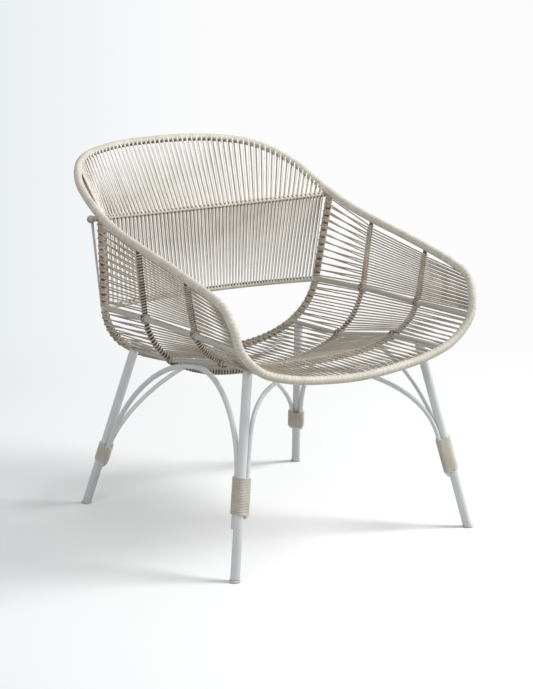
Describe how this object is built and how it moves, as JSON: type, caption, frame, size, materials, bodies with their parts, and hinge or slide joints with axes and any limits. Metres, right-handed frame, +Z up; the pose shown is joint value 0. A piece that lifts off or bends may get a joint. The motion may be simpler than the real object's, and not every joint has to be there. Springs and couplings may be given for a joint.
{
  "type": "lounge_chair",
  "caption": "Round-rimmed lounge chair: a painted tube frame strung with cord, with a wrapped rim, a cradled seat, splayed legs and arched braces bound on with cord.",
  "frame": {"origin": "On the floor, under the middle of the chair's bounding box", "axes": "+Z up, -Y the way the sitter faces, +X to the right of someone who stands in front and looks at the chair"},
  "size_m": [0.6394, 0.7643, 0.7848],
  "materials": {
    "painted_steel": "satin powder coat, light blue-grey",
    "lacing_cord": "round resin cord, taupe, slight sheen",
    "rim_cord": "round resin cord, cream, close turns",
    "glide_plastic": "moulded, beige-brown"
  },
  "bodies": {
    "root": {"rim_tube": "painted_steel", "rim_cord_wrap": "rim_cord", "rear_hoop_tube": "painted_steel", "rear_hoop_cord_wrap": "lacing_cord", "middle_rib_rod": "painted_steel", "middle_rib_cord_wrap": "lacing_cord", "front_rib_rod": "painted_steel", "front_rib_cord_wrap": "lacing_cord", "left_side_rail_rear": "painted_steel", "left_seat_rail_rear": "painted_steel", "left_side_rail_middle": "painted_steel", "left_seat_rail_middle": "painted_steel", "left_side_rail_front": "painted_steel", "left_seat_rail_front": "painted_steel", "right_side_rail_rear": "painted_steel", "right_seat_rail_rear": "painted_steel", "right_side_rail_middle": "painted_steel", "right_seat_rail_middle": "painted_steel", "right_side_rail_front": "painted_steel", "right_seat_rail_front": "painted_steel", "mid_back_rail_rod": "painted_steel", "mid_back_rail_cord_wrap": "lacing_cord", "lower_back_rail_rod": "painted_steel", "lower_back_rail_cord_wrap": "lacing_cord", "front_left_leg_tube": "painted_steel", "front_left_glide": "glide_plastic", "front_right_leg_tube": "painted_steel", "front_right_glide": "glide_plastic", "rear_left_leg_tube": "painted_steel", "rear_left_glide": "glide_plastic", "rear_right_leg_tube": "painted_steel", "rear_right_glide": "glide_plastic", "left_side_arch_brace": "painted_steel", "right_side_arch_brace": "painted_steel", "front_arch_brace": "painted_steel", "rear_arch_brace": "painted_steel", "front_left_leg_cord_binding": "lacing_cord", "front_right_leg_cord_binding": "lacing_cord", "rear_left_leg_cord_binding": "lacing_cord", "rear_right_leg_cord_binding": "lacing_cord", "left_arm_cord_panel": "lacing_cord", "left_flank_cord_panel": "lacing_cord", "right_arm_cord_panel": "lacing_cord", "right_flank_cord_panel": "lacing_cord", "seat_cord_panel": "lacing_cord", "upper_back_cord_panel": "lacing_cord", "lower_back_cord_panel": "lacing_cord"}
  },
  "joints": []
}
